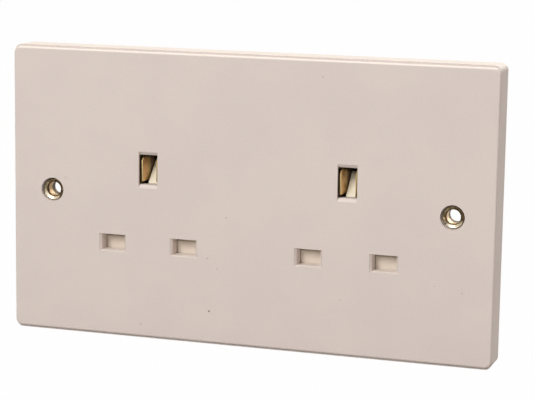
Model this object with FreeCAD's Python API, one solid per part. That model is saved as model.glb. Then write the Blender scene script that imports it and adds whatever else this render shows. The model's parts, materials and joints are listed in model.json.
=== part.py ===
import FreeCAD, Part
import math
import os

# Unswitched twin socket outlet, in millimetres.
# X runs right as seen from the front, Y runs into the wall and Z is up.
# The origin is the plate's centre, on the wall plane that its rim seats on.

# Face plate
fixing_pitch = 120.6
fixing_edge = 12.2
plate_height = 85.0
plate_depth = 10.0
front_wall = 3.0
rim_wall = 2.5
plate_corner_radius = 2.0
front_edge_radius = 0.6
ledge_height = 0.6
ledge_setback = 1.0

# Pins of the plug that the socket takes
socket_pitch = 60.0
line_pin_spacing = 22.2
earth_pin_rise = 22.2
earth_z = 7.6
line_pin_length = 17.7
earth_pin_length = 22.7
earth_pin_tall = 8.0
line_pin_room = 1.1
earth_pin_room = 2.3

# Pin apertures, with wide lead-ins at their ends and slight ones along the line slots' sides
line_slot_width = 7.2
line_slot_height = 4.8
line_slot_lead = 0.65
earth_slot_width = 5.8
earth_slot_height = 8.8
earth_slot_lead = 0.9
earth_web = 0.8
earth_relief = 0.6
side_lead = 0.2
lead_depth = 0.7

# Safety shutters and the track that they slide on
track_rise = 1.2
slide_gap = 0.3
shutter_thickness = 2.0
shutter_cover = 0.6
wing_end_cover = 0.8
shoulder_half_width = 6.5
shoulder_rise = 7.6
stem_half_width = 3.5
stem_drop = 0.7
ramp_width = 2.8
ramp_toe_gap = 0.7
ramp_rise = 6.4
ramp_flat = 1.1
ramp_gusset_drop = 5.2
guide_thickness = 1.2
stop_thickness = 1.3

# Return springs
spring_length = 12.0
spring_radius = 1.8
spring_wire = 0.5
spring_turns = 5
spring_steps = 6
spring_end_gap = 0.1
seat_thickness = 1.4
seat_half_width = 3.2
seat_overhang = 0.3
peg_half_width = 0.7
peg_length = 1.8

# Fixing eyelets
recess_radius = 3.5
recess_depth = 1.4
eyelet_bore_radius = 2.05
eyelet_barrel_radius = 2.5
eyelet_flange_radius = 3.2
eyelet_lip = 0.6
eyelet_collar = 2.9
fit_gap = 0.05

# Earth strap and earth contacts
strap_thickness = 0.8
strap_width = 4.6
strap_margin = 1.4
strap_end = 6.0
strap_ring_radius = 5.0
earth_sheet = 0.6
earth_tab_half_width = 3.0
earth_lip_half_gap = 2.1
earth_throat_half_gap = 1.7
earth_tail_half_gap = 2.4
earth_lip_setback = 1.2
earth_lip_corner = 0.8
earth_lead_length = 4.2
earth_leaf_length = 11.5
earth_leaf_below = 3.6
earth_lip_above = 3.3
earth_bridge_margin = 0.4

# Line and neutral contacts
contact_gap = 0.6
contact_sheet = 0.8
contact_half_width = 3.0
contact_lip_half_gap = 2.9
contact_throat_half_gap = 1.7
contact_base_half_gap = 2.6
contact_throat_setback = 3.6
contact_bend = 0.5

# Busbars
busbar_thickness = 1.0
busbar_width = 4.2
busbar_spacing = 3.0
lug_half_width = 3.5
leg_half_width = 2.0
shelf_thickness = 0.8
shelf_half_width = 3.0

# Pillar terminals and their clamp screws
terminal_width = 8.0
terminal_depth = 10.0
terminal_height = 12.0
terminal_edge = 0.4
wire_bore_radius = 2.8
wire_bore_depth = 9.0
wire_bore_wall = 1.2
clamp_height = 7.5
tenon_half_width = 1.4
tenon_head_half_width = 1.9
tenon_head = 0.5
clamp_shank_radius = 1.7
clamp_head_radius = 3.3
clamp_head_height = 2.2
clamp_travel = 3.5
clamp_rest_gap = 0.1
clamp_head_gap = 0.4
slot_width = 0.8
slot_depth = 1.1

# Rear housing
box_lug_room = 7.3
housing_wall = 1.8
back_wall = 2.0
housing_corner_radius = 3.0
back_edge = 0.8
terminal_room = 1.2
seat_room = 1.0
rib_thickness = 1.4
rib_offset = 5.2
well_gap = 0.4
window_half_width = 3.6
partition_thickness = 1.2
partition_gap = 0.3
rest_thickness = 1.0
cheek_gap = 0.4
cheek_thickness = 1.2

# Cover screws
cover_screw_radius = 1.5
cover_head_radius = 2.4
cover_head_height = 1.6
cover_hole_gap = 0.25
cover_sink = 3.8
column_half_width = 3.3
boss_height = 5.0
cover_tip_gap = 0.6
top_column_x = 28.0

# Depths along Y, from the front face to the back of the housing
plate_width = fixing_pitch + 2 * fixing_edge
front_face = -plate_depth
inner_face = front_face + front_wall
track_face = inner_face + track_rise
shutter_front = track_face + slide_gap
shutter_back = shutter_front + shutter_thickness
rib_front = shutter_back + slide_gap
spring_y = (shutter_front + shutter_back) / 2
contact_lip_y = shutter_back + contact_gap
contact_base_y = front_face + line_pin_length + line_pin_room
busbar_front = contact_base_y + contact_sheet
busbar_back = busbar_front + busbar_thickness
terminal_back = busbar_back
terminal_front = terminal_back - terminal_depth
wire_bore_y = terminal_front + wire_bore_wall + wire_bore_radius
clamp_tip_y = wire_bore_y + wire_bore_radius + clamp_rest_gap
clamp_head_y = terminal_back + clamp_travel + clamp_head_gap
floor_y = front_face + earth_pin_length + earth_pin_room
housing_back = floor_y + back_wall
boss_end = inner_face + boss_height
recess_floor = front_face + recess_depth
strap_back = inner_face + strap_thickness
earth_lip_y = front_face + earth_lip_setback
earth_throat_y = strap_back + earth_lead_length
earth_tail_y = earth_throat_y + earth_leaf_length

# Heights along Z
line_z = earth_z - earth_pin_rise
wing_top = line_z + line_slot_height / 2 + shutter_cover
wing_bottom = line_z - line_slot_height / 2 - shutter_cover
shoulder_top = wing_top + shoulder_rise
ramp_toe_z = earth_z - earth_slot_height / 2
ramp_top = ramp_toe_z + ramp_rise
stem_top = ramp_toe_z - stem_drop
shutter_travel = ramp_top - (earth_z - earth_pin_tall / 2)
seat_z = wing_bottom - spring_length
bridge_z = earth_z + earth_slot_height / 2 + earth_bridge_margin
leaf_bottom = earth_z - earth_leaf_below
lip_top = earth_z + earth_lip_above
strap_bottom = earth_z + earth_slot_height / 2 + strap_margin
strap_top = strap_bottom + strap_width
shelf_z = strap_top
terminal_top = shelf_z + terminal_height
clamp_z = shelf_z + clamp_height
housing_top = terminal_top + terminal_room + housing_wall
housing_bottom = seat_z - seat_thickness - seat_room - housing_wall
strap_z = (strap_bottom + strap_top) / 2
live_bar_bottom = wing_top + busbar_spacing
neutral_bar_top = wing_bottom - busbar_spacing

# Places along X
socket_x = socket_pitch / 2
fixing_x = fixing_pitch / 2
pin_x = line_pin_spacing / 2
wing_half = pin_x + line_slot_width / 2 + wing_end_cover
housing_half = fixing_x - box_lug_room
outer_terminal_x = housing_half - housing_wall - terminal_room - terminal_width / 2
strap_reach = socket_x + strap_end

sides = {"left": -socket_x, "right": socket_x}
terminal_x = {
    "neutral": -outer_terminal_x,
    "earth": 0.0,
    "live": outer_terminal_x,
}
column_inset = housing_wall + slide_gap + column_half_width
column_places = [
    (-top_column_x, housing_top - column_inset),
    (top_column_x, housing_top - column_inset),
    (0.0, housing_bottom + column_inset),
]
strap_path = [
    (-fixing_x, 0.0),
    (-strap_reach, strap_z),
    (strap_reach, strap_z),
    (fixing_x, 0.0),
]


def vec(x, y, z):
    return FreeCAD.Vector(x, y, z)


def block(x_span, y_span, z_span):
    corner = vec(x_span[0], y_span[0], z_span[0])
    return Part.makeBox(x_span[1] - x_span[0], y_span[1] - y_span[0], z_span[1] - z_span[0], corner)


def rod_y(radius, x, z, y_span):
    return Part.makeCylinder(radius, y_span[1] - y_span[0], vec(x, y_span[0], z), vec(0, 1, 0))


def rod_z(radius, x, y, z_span):
    return Part.makeCylinder(radius, z_span[1] - z_span[0], vec(x, y, z_span[0]), vec(0, 0, 1))


def prism(corners, sweep):
    return Part.Face(Part.makePolygon(corners + corners[:1])).extrude(sweep)


def prism_x(profile, x_span):
    return prism([vec(x_span[0], y, z) for y, z in profile], vec(x_span[1] - x_span[0], 0, 0))


def prism_y(profile, y_span):
    return prism([vec(x, y_span[0], z) for x, z in profile], vec(0, y_span[1] - y_span[0], 0))


def prism_z(profile, z_span):
    return prism([vec(x, y, z_span[0]) for x, y in profile], vec(0, 0, z_span[1] - z_span[0]))


def turned(profile, x, z):
    face = Part.Face(Part.makePolygon([vec(x + r, y, z) for r, y in profile + profile[:1]]))
    return face.revolve(vec(x, 0, z), vec(0, 1, 0), 360)


def edges_where(shape, test):
    return [edge for edge in shape.Edges if all(test(vertex.Point) for vertex in edge.Vertexes)]


def edges_along_y(shape):
    return [e for e in shape.Edges if abs(abs(e.tangentAt(e.FirstParameter).y) - 1) < 1e-6]


def rounded_panel(x_span, y_span, z_span, radius):
    panel = block(x_span, y_span, z_span)
    return panel.makeFillet(radius, edges_along_y(panel))


def offset_path(path, distance):
    # the path moved to its left by a distance, with mitred bends
    normals = []
    for (a, b), (c, d) in zip(path, path[1:]):
        length = math.hypot(c - a, d - b)
        normals.append((-(d - b) / length, (c - a) / length))
    moved = []
    for (x, y), n, m in zip(path, normals[:1] + normals, normals + normals[-1:]):
        scale = distance / (1 + n[0] * m[0] + n[1] * m[1])
        moved.append((x + (n[0] + m[0]) * scale, y + (n[1] + m[1]) * scale))
    return moved


def strip(path, thickness):
    # outline of a folded sheet whose right-hand face follows the path
    return path + offset_path(path, thickness)[::-1]


def ribbon(path, width):
    # outline of a flat strap centred on the path
    return offset_path(path, width / 2) + offset_path(path, -width / 2)[::-1]


def square_y(half, x, z, y_span):
    return block((x - half, x + half), y_span, (z - half, z + half))


def square_z(half, x, y, z_span):
    return block((x - half, x + half), (y - half, y + half), z_span)


def slot_mouth(x, z, width, height, lead_x, lead_z):
    wires = []
    for y, grow_x, grow_z in ((front_face, lead_x, lead_z), (front_face + lead_depth, 0, 0)):
        half_x = width / 2 + grow_x
        half_z = height / 2 + grow_z
        corners = [(-half_x, -half_z), (half_x, -half_z), (half_x, half_z), (-half_x, half_z)]
        points = [vec(x + a, y, z + b) for a, b in corners]
        wires.append(Part.makePolygon(points + points[:1]))
    return Part.makeLoft(wires, True, True)


def slot_cut(x, z, width, height, lead_x, lead_z):
    through = block(
        (x - width / 2, x + width / 2), (front_face, track_face + slide_gap), (z - height / 2, z + height / 2)
    )
    return through.fuse(slot_mouth(x, z, width, height, lead_x, lead_z))


def plate_shell():
    half_width = plate_width / 2
    half_height = plate_height / 2
    panel_half = half_height - ledge_height
    ledge_y = front_face + ledge_setback
    panel = rounded_panel(
        (-half_width, half_width), (front_face, ledge_y), (-panel_half, panel_half), plate_corner_radius
    )
    front_edges = edges_where(panel, lambda point: abs(point.y - front_face) < 1e-6)
    panel = panel.makeFillet(front_edge_radius, front_edges)
    rim = rounded_panel(
        (-half_width, half_width), (ledge_y, 0), (-half_height, half_height), plate_corner_radius
    )
    cavity = block(
        (rim_wall - half_width, half_width - rim_wall),
        (inner_face, 0),
        (rim_wall - half_height, half_height - rim_wall),
    )
    return panel.fuse(rim).removeSplitter().cut(cavity)


def shutter_track(x):
    pieces = []
    guide_y = (inner_face, shutter_back)
    lowest = wing_bottom - shutter_travel
    inner_edge = spring_radius + spring_wire / 2 + slide_gap
    guide_start = wing_half + slide_gap
    for side in (-1, 1):
        pad_x = sorted((x + side * inner_edge, x + side * guide_start))
        guide_x = sorted((x + side * guide_start, x + side * (guide_start + guide_thickness)))
        stop_x = sorted((x + side * (shoulder_half_width + slide_gap), x + side * guide_start))
        stop_z = (wing_top + slide_gap, wing_top + slide_gap + stop_thickness)
        pieces.append(block(pad_x, (inner_face, track_face), (lowest, wing_top + slide_gap)))
        pieces.append(block(guide_x, guide_y, (lowest, stop_z[1])))
        pieces.append(block(stop_x, guide_y, stop_z))
    seat_y = spring_y + spring_radius + spring_wire + seat_overhang
    seat_x = (x - seat_half_width, x + seat_half_width)
    pieces.append(block(seat_x, (inner_face, seat_y), (seat_z - seat_thickness, seat_z)))
    pieces.append(square_z(peg_half_width, x, spring_y, (seat_z, seat_z + peg_length)))
    return pieces


def face_plate():
    added = []
    for x in sides.values():
        added += shutter_track(x)
    for x, z in column_places:
        added.append(square_y(column_half_width, x, z, (inner_face, boss_end)))
    cuts = []
    for x in sides.values():
        for side in (-1, 1):
            cuts.append(slot_cut(
                x + side * pin_x, line_z, line_slot_width, line_slot_height, line_slot_lead, side_lead
            ))
        cuts.append(slot_cut(x, earth_z, earth_slot_width, earth_slot_height, 0, earth_slot_lead))
        relief_half = earth_slot_width / 2 + earth_relief
        cuts.append(block(
            (x - relief_half, x + relief_half),
            (front_face + earth_web, inner_face),
            (leaf_bottom - slide_gap, lip_top + slide_gap),
        ))
    for side in (-1, 1):
        cuts.append(rod_y(recess_radius, side * fixing_x, 0, (front_face, recess_floor)))
        cuts.append(rod_y(eyelet_barrel_radius + fit_gap, side * fixing_x, 0, (recess_floor, inner_face)))
    for x, z in column_places:
        cuts.append(square_y(cover_screw_radius + fit_gap, x, z, (inner_face, boss_end)))
    return plate_shell().multiFuse(added).cut(cuts).removeSplitter()


def shutter(x):
    outline = [
        (x - wing_half, wing_bottom),
        (x + wing_half, wing_bottom),
        (x + wing_half, wing_top),
        (x + shoulder_half_width, wing_top),
        (x + shoulder_half_width, shoulder_top),
        (x + stem_half_width, shoulder_top),
        (x + stem_half_width, stem_top),
        (x - stem_half_width, stem_top),
        (x - stem_half_width, shoulder_top),
        (x - shoulder_half_width, shoulder_top),
        (x - shoulder_half_width, wing_top),
        (x - wing_half, wing_top),
    ]
    panel = prism_y(outline, (shutter_front, shutter_back))
    toe_y = inner_face + ramp_toe_gap
    back_y = toe_y + ramp_rise + ramp_flat
    ramp = [
        (shutter_front, stem_top - ramp_gusset_drop),
        (shutter_front, ramp_toe_z + toe_y - shutter_front),
        (toe_y, ramp_toe_z),
        (toe_y + ramp_rise, ramp_top),
        (back_y, ramp_top),
        (back_y, stem_top),
        (shutter_back, stem_top - ramp_gusset_drop),
    ]
    wedge = prism_x(ramp, (x - ramp_width / 2, x + ramp_width / 2))
    peg = square_z(peg_half_width, x, spring_y, (wing_bottom - peg_length, wing_bottom))
    return panel.multiFuse([wedge, peg]).removeSplitter()


def shutter_spring(x):
    # a square wire section carried round the coil in straight steps
    rise = spring_length - spring_wire - 2 * spring_end_gap
    start_z = seat_z + spring_end_gap + spring_wire / 2
    count = spring_turns * spring_steps
    sections = []
    for step in range(count + 1):
        turn = 2 * math.pi * step / spring_steps
        corners = []
        for corner in range(4):
            angle = corner * math.pi / 2
            reach = spring_radius + spring_wire / 2 * math.cos(angle)
            height = start_z + rise * step / count + spring_wire / 2 * math.sin(angle)
            corners.append(vec(x + reach * math.cos(turn), spring_y + reach * math.sin(turn), height))
        sections.append(Part.makePolygon(corners + corners[:1]))
    return Part.makeLoft(sections, True, True)


def eyelet(x):
    rim_y = recess_floor - eyelet_lip
    end_y = strap_back + eyelet_collar
    profile = [
        (eyelet_barrel_radius, recess_floor),
        (eyelet_flange_radius, recess_floor),
        (eyelet_flange_radius, rim_y),
        (eyelet_bore_radius, recess_floor),
        (eyelet_bore_radius, end_y),
        (eyelet_flange_radius, end_y),
        (eyelet_flange_radius, strap_back),
        (eyelet_barrel_radius, strap_back),
    ]
    return turned(profile, x, 0)


def fixing_eyelets():
    return Part.makeCompound([eyelet(-fixing_x), eyelet(fixing_x)])


def tenon_hole(x):
    middle = (terminal_front + terminal_back) / 2
    return square_z(tenon_half_width + fit_gap, x, middle, (shelf_z - shelf_thickness, shelf_z))


def earth_strap():
    flat = (inner_face, strap_back)
    pieces = []
    holes = []
    for side in (-1, 1):
        pieces.append(rod_y(strap_ring_radius, side * fixing_x, 0, flat))
        holes.append(rod_y(eyelet_barrel_radius + fit_gap, side * fixing_x, 0, flat))
    x = terminal_x["earth"]
    shelf_x = (x - shelf_half_width, x + shelf_half_width)
    pieces.append(block(shelf_x, (inner_face, terminal_back), (shelf_z - shelf_thickness, shelf_z)))
    holes.append(tenon_hole(x))
    band = prism_y(ribbon(strap_path, strap_width), flat)
    return band.multiFuse(pieces).cut(holes).removeSplitter()


def earth_contact(x):
    step_y = inner_face + slide_gap
    over_lip = prism_x(
        [
            (earth_lip_y, lip_top - earth_lip_corner),
            (earth_lip_y + earth_lip_corner, lip_top),
            (step_y, lip_top),
            (step_y, bridge_z + 2 * earth_sheet),
            (earth_lip_y, bridge_z + 2 * earth_sheet),
        ],
        (x - 2 * earth_lip_half_gap, x + 2 * earth_lip_half_gap),
    )
    pieces = []
    for side in (-1, 1):
        path = [
            (x + side * earth_lip_half_gap, earth_lip_y),
            (x + side * earth_lip_half_gap, strap_back),
            (x + side * earth_throat_half_gap, earth_throat_y),
            (x + side * earth_tail_half_gap, earth_tail_y),
        ]
        if side > 0:
            path = path[::-1]
        leaf = prism_z(strip(path, earth_sheet), (leaf_bottom, bridge_z + earth_sheet))
        pieces.append(leaf.cut(over_lip))
    bridge = [
        (x - earth_lip_half_gap, strap_back),
        (x + earth_lip_half_gap, strap_back),
        (x + earth_throat_half_gap, earth_throat_y),
        (x + earth_tail_half_gap, earth_tail_y),
        (x - earth_tail_half_gap, earth_tail_y),
        (x - earth_throat_half_gap, earth_throat_y),
    ]
    pieces.append(prism_z(bridge, (bridge_z, bridge_z + earth_sheet)))
    tab_x = (x - earth_tab_half_width, x + earth_tab_half_width)
    pieces.append(block(tab_x, (strap_back, strap_back + earth_sheet), (bridge_z, strap_top)))
    return pieces[0].multiFuse(pieces[1:]).removeSplitter()


def pin_contact(x):
    throat_y = contact_lip_y + contact_throat_setback
    half = [
        (contact_lip_y, contact_lip_half_gap),
        (throat_y, contact_throat_half_gap),
        (contact_base_y, contact_base_half_gap),
    ]
    path = [(y, line_z + z) for y, z in half] + [(y, line_z - z) for y, z in half[::-1]]
    span = (x - contact_half_width, x + contact_half_width)
    clip = prism_x(strip(path, contact_sheet), span)
    outer_bends = edges_where(clip, lambda point: abs(point.y - busbar_front) < 1e-6)
    outer_bends = [edge for edge in outer_bends if abs(edge.tangentAt(edge.FirstParameter).x) > 0.9]
    return clip.makeChamfer(contact_bend, outer_bends)


def busbar(contact_places, leg_x, bar_z, lug_end):
    flat = (busbar_front, busbar_back)
    ends = [x + side * lug_half_width for x in contact_places for side in (-1, 1)]
    ends += [leg_x - leg_half_width, leg_x + leg_half_width]
    bar = block((min(ends), max(ends)), flat, bar_z)
    pieces = [block((leg_x - leg_half_width, leg_x + leg_half_width), flat, (bar_z[0], shelf_z))]
    for x in contact_places:
        lug_z = (min(bar_z[0], lug_end), max(bar_z[1], lug_end))
        pieces.append(block((x - lug_half_width, x + lug_half_width), flat, lug_z))
    shelf_x = (leg_x - shelf_half_width, leg_x + shelf_half_width)
    pieces.append(block(shelf_x, (terminal_front, busbar_back), (shelf_z - shelf_thickness, shelf_z)))
    return bar.multiFuse(pieces).cut(tenon_hole(leg_x)).removeSplitter()


def terminal(x):
    half = terminal_width / 2
    body = block((x - half, x + half), (terminal_front, terminal_back), (shelf_z, terminal_top))
    rims = edges_where(body, lambda point: abs(point.z - terminal_top) < 1e-6)
    body = body.makeChamfer(terminal_edge, rims)
    middle = (terminal_front + terminal_back) / 2
    under = shelf_z - shelf_thickness
    tenon = square_z(tenon_half_width, x, middle, (under, shelf_z))
    head = square_z(tenon_head_half_width, x, middle, (under - tenon_head, under))
    bore = rod_z(wire_bore_radius, x, wire_bore_y, (terminal_top - wire_bore_depth, terminal_top))
    clamp = rod_y(clamp_shank_radius + fit_gap, x, clamp_z, (wire_bore_y, terminal_back))
    return body.multiFuse([tenon, head]).cut([bore, clamp]).removeSplitter()


def slotted_screw(x, z, tip_y, seat_y, shank, head_radius, head_height):
    profile = [
        (0, tip_y),
        (shank, tip_y),
        (shank, seat_y),
        (head_radius, seat_y),
        (head_radius, seat_y + head_height),
        (0, seat_y + head_height),
    ]
    slot = block(
        (x - slot_width / 2, x + slot_width / 2),
        (seat_y + head_height - slot_depth, seat_y + head_height),
        (z - head_radius, z + head_radius),
    )
    return turned(profile, x, z).cut(slot)


def terminal_screw(x):
    return slotted_screw(
        x, clamp_z, clamp_tip_y, clamp_head_y, clamp_shank_radius, clamp_head_radius, clamp_head_height
    )


def cover_screws():
    screws = []
    for x, z in column_places:
        screws.append(slotted_screw(
            x, z, inner_face + cover_tip_gap, housing_back - cover_sink,
            cover_screw_radius, cover_head_radius, cover_head_height,
        ))
    return Part.makeCompound(screws)


def housing_tray():
    x_span = (-housing_half, housing_half)
    outer = rounded_panel(
        x_span, (inner_face, housing_back), (housing_bottom, housing_top), housing_corner_radius
    )
    back_edges = edges_where(outer, lambda point: abs(point.y - housing_back) < 1e-6)
    outer = outer.makeChamfer(back_edge, back_edges)
    cavity = rounded_panel(
        (housing_wall - housing_half, housing_half - housing_wall),
        (inner_face, floor_y),
        (housing_bottom + housing_wall, housing_top - housing_wall),
        housing_corner_radius - housing_wall,
    )
    return outer.cut(cavity)


def housing_ribs():
    ribs = []
    for x in sides.values():
        for side in (-1, 1):
            middle = x + side * rib_offset
            ribs.append(block(
                (middle - rib_thickness / 2, middle + rib_thickness / 2),
                (rib_front, floor_y),
                (neutral_bar_top + slide_gap, live_bar_bottom - slide_gap),
            ))
            for edge in (-1, 1):
                rest_x = x + side * pin_x + edge * (lug_half_width - rest_thickness)
                ribs.append(block(
                    (rest_x - rest_thickness / 2, rest_x + rest_thickness / 2),
                    (busbar_back, floor_y),
                    (wing_bottom, wing_top),
                ))
            inside = earth_tail_half_gap
            outside = earth_tail_half_gap + earth_sheet + cheek_gap
            cheek = [
                (x + side * outside, earth_throat_y + cheek_thickness),
                (x + side * (outside + cheek_thickness), earth_throat_y + cheek_thickness),
                (x + side * (outside + cheek_thickness), floor_y),
                (x + side * inside, floor_y),
                (x + side * inside, earth_tail_y + cheek_gap),
                (x + side * outside, earth_tail_y + cheek_gap),
            ]
            ribs.append(prism_z(cheek, (leaf_bottom, bridge_z)))
    for x in terminal_x.values():
        for side in (-1, 1):
            wall_x = x + side * (terminal_width / 2 + partition_gap + partition_thickness / 2)
            ribs.append(block(
                (wall_x - partition_thickness / 2, wall_x + partition_thickness / 2),
                (wire_bore_y - wire_bore_radius, floor_y),
                (shelf_z, housing_top - housing_wall),
            ))
    return ribs


def rear_housing():
    added = housing_ribs()
    cuts = []
    for x, z in column_places:
        added.append(square_y(column_half_width, x, z, (boss_end, floor_y)))
        cuts.append(rod_y(cover_screw_radius + cover_hole_gap, x, z, (boss_end, housing_back)))
        well_half = cover_head_radius + cover_hole_gap
        cuts.append(square_y(well_half, x, z, (housing_back - cover_sink, housing_back)))
    for x in terminal_x.values():
        cuts.append(square_y(clamp_head_radius + well_gap, x, clamp_z, (floor_y, housing_back)))
        window_x = (x - window_half_width, x + window_half_width)
        window_y = (terminal_front, terminal_back)
        cuts.append(block(window_x, window_y, (housing_top - housing_wall, housing_top)))
    notch = ribbon(strap_path, strap_width + 2 * slide_gap)
    cuts.append(prism_y(notch, (inner_face, strap_back + slide_gap)))
    return housing_tray().multiFuse(added).cut(cuts).removeSplitter()


def all_parts():
    live_places = [x + pin_x for x in sides.values()]
    neutral_places = [x - pin_x for x in sides.values()]
    live_bar = (live_bar_bottom, live_bar_bottom + busbar_width)
    neutral_bar = (neutral_bar_top - busbar_width, neutral_bar_top)
    parts = {
        "face_plate": face_plate(),
        "rear_housing": rear_housing(),
        "earth_strap": earth_strap(),
        "live_busbar": busbar(live_places, outer_terminal_x, live_bar, wing_bottom),
        "neutral_busbar": busbar(neutral_places, -outer_terminal_x, neutral_bar, wing_top),
        "cover_screws": cover_screws(),
        "fixing_eyelets": fixing_eyelets(),
    }
    for name, x in sides.items():
        parts[name + "_shutter"] = shutter(x)
        parts[name + "_shutter_spring"] = shutter_spring(x)
        parts[name + "_earth_contact"] = earth_contact(x)
        parts[name + "_live_contact"] = pin_contact(x + pin_x)
        parts[name + "_neutral_contact"] = pin_contact(x - pin_x)
    for name, x in terminal_x.items():
        parts[name + "_terminal"] = terminal(x)
        parts[name + "_terminal_screw"] = terminal_screw(x)
    return parts


def main():
    os.makedirs("parts", exist_ok=True)
    for name, shape in all_parts().items():
        shape.exportStep("parts/" + name + ".step")
        print(name, "valid" if shape.isValid() else "NOT VALID", round(shape.Volume, 2), "mm3")


main()
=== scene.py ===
import json
import math

import bmesh
import bpy
from mathutils import Matrix, Vector


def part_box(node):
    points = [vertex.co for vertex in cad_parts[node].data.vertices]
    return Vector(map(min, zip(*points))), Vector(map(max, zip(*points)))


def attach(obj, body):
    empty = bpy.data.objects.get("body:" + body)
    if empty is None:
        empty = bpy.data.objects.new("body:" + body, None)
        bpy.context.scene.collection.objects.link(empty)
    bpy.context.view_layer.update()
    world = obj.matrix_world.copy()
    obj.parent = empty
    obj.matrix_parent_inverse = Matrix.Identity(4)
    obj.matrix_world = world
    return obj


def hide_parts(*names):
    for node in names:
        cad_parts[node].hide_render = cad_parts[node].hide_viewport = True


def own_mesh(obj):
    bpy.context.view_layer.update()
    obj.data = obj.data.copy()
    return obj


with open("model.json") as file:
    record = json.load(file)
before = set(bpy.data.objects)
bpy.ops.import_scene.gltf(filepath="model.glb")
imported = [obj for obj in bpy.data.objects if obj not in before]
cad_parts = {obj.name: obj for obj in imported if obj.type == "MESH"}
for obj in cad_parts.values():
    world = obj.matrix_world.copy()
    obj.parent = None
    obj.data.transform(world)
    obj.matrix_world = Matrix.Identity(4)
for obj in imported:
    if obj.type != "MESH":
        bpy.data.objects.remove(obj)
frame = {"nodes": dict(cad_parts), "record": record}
for startName in ("Cube", "Light", "Camera"):
    startThing = bpy.data.objects.get(startName)
    if startThing is not None:
        bpy.data.objects.remove(startThing)
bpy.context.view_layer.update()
mm = 0.001
weldReach = 0.002 * mm  # points nearer than this are one
fullTurn = 2 * math.pi
sides = ("left", "right")
pinNames = ("earth", "live", "neutral")
terminalNames = ("neutral", "earth", "live")
print("frame loaded:", len(frame["nodes"]), "nodes")


class Wire:
    # one socket of a node tree; sums on it add Math nodes
    def __init__(self, tree, socket=None):
        self.tree = tree
        self.socket = socket

    def node(self, kind, settings=None, inputs=None, out=0):
        made = self.tree.nodes.new(kind)
        for key, value in (settings or {}).items():
            setattr(made, key, value)
        for key, value in (inputs or {}).items():
            self.feed(made.inputs[key], value)
        return Wire(self.tree, made.outputs[out] if made.outputs else None)

    def feed(self, target, value):
        if isinstance(value, Wire):
            self.tree.links.new(value.socket, target)
        elif isinstance(value, list):
            for each in value:
                self.tree.links.new(each.socket, target)
        else:
            target.default_value = value

    def math(self, operation, *values):
        return self.node("ShaderNodeMath", {"operation": operation}, dict(enumerate(values)))

    def __add__(self, other):
        return self.math("ADD", self, other)

    def __radd__(self, other):
        return self.math("ADD", other, self)

    def __sub__(self, other):
        return self.math("SUBTRACT", self, other)

    def __rsub__(self, other):
        return self.math("SUBTRACT", other, self)

    def __mul__(self, other):
        return self.math("MULTIPLY", self, other)

    def __truediv__(self, other):
        return self.math("DIVIDE", self, other)

    def __abs__(self):
        return self.math("ABSOLUTE", self)

    def swing(self):
        # a noise about 0 instead of about its middle
        return self - 0.5

    def rise(self, low, high):
        # 0 below low, 1 above high, smooth between
        return self.node("ShaderNodeMapRange", {"interpolation_type": "SMOOTHSTEP"},
                         {"Value": self, "From Min": low, "From Max": high})

    def fall(self, low, high):
        # 1 below low, 0 above high, smooth between
        return 1 - self.rise(low, high)


def srgb(red, green, blue):
    # a colour as it is seen on screen, 0 to 255, made linear
    linear = []
    for level in (red, green, blue):
        share = level / 255
        linear.append(share / 12.92 if share <= 0.04045 else ((share + 0.055) / 1.055) ** 2.4)
    return (*linear, 1.0)


def startMaterial(name):
    material = bpy.data.materials.new(name)
    material.use_nodes = True
    material.node_tree.nodes.clear()
    return material, Wire(material.node_tree)


def closeMaterial(board, surface):
    board.node("ShaderNodeOutputMaterial", inputs={"Surface": surface})


def objectPlace(board):
    return board.node("ShaderNodeTexCoord", out="Object")


def axesInMm(board, place):
    axes = []
    for name in "XYZ":
        axes.append(board.node("ShaderNodeSeparateXYZ", inputs={"Vector": place}, out=name) / mm)
    return axes


def distance(across, up):
    return across.math("SQRT", across * across + up * up)


def stretched(board, place, scale):
    return board.node("ShaderNodeMapping", inputs={"Vector": place, "Scale": scale})


def noise(board, place, scale, detail=3.0, roughness=0.55):
    return board.node("ShaderNodeTexNoise", inputs={
        "Vector": place, "Scale": scale, "Detail": detail, "Roughness": roughness,
    })


def blendColour(board, share, first, second):
    return board.node("ShaderNodeMix", {"data_type": "RGBA"}, {0: share, 6: first, 7: second}, out=2)


def bumped(board, height, strength, depth):
    return board.node("ShaderNodeBump", inputs={
        "Height": height, "Strength": strength, "Distance": depth * mm,
    })


# Finishes: lengths in mm, and each pair is where a fade starts and ends

pinLayout = {"socketPitch": 60.0, "pinPitch": 22.2, "slotWidth": 7.2}


def fromSocketLine(x):
    # how far a spot lies from its socket's middle line
    return abs(abs(x) - pinLayout["socketPitch"] / 2)


def fromLinePin(x):
    # how far a spot lies from the nearer line pin of its socket
    return abs(fromSocketLine(x) - pinLayout["pinPitch"] / 2)


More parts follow.
